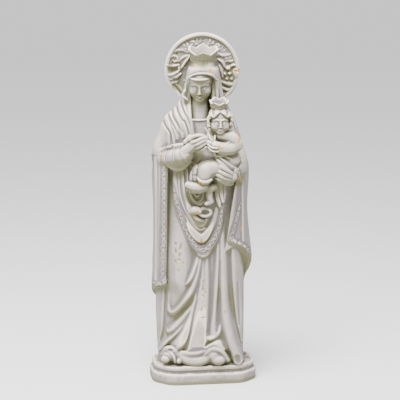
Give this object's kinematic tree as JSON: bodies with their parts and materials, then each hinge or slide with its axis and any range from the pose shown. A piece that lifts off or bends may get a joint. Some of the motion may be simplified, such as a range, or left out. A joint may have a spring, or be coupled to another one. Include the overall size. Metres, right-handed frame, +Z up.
{
  "type": "virgin and child statue",
  "caption": "Weathered cast-stone garden statue of a crowned Virgin holding a crowned child, with a carved halo disc and a low moulded base.",
  "frame": {"origin": "centre of the base's flat underside, on the ground", "axes": "+Z up; the base's long side runs along X and its front faces -Y; the figure is turned 8 degrees on the base, towards -X; the child sits on the +X side"},
  "size_m": [0.316, 0.2435, 1.045],
  "materials": {
    "cast_stone": "pale weathered reconstituted stone with grey-violet hollows, olive algae on its undersides and a few orange lichen spots"
  },
  "bodies": {
    "root": {"virgin_and_child_statue": "cast_stone"}
  },
  "joints": []
}
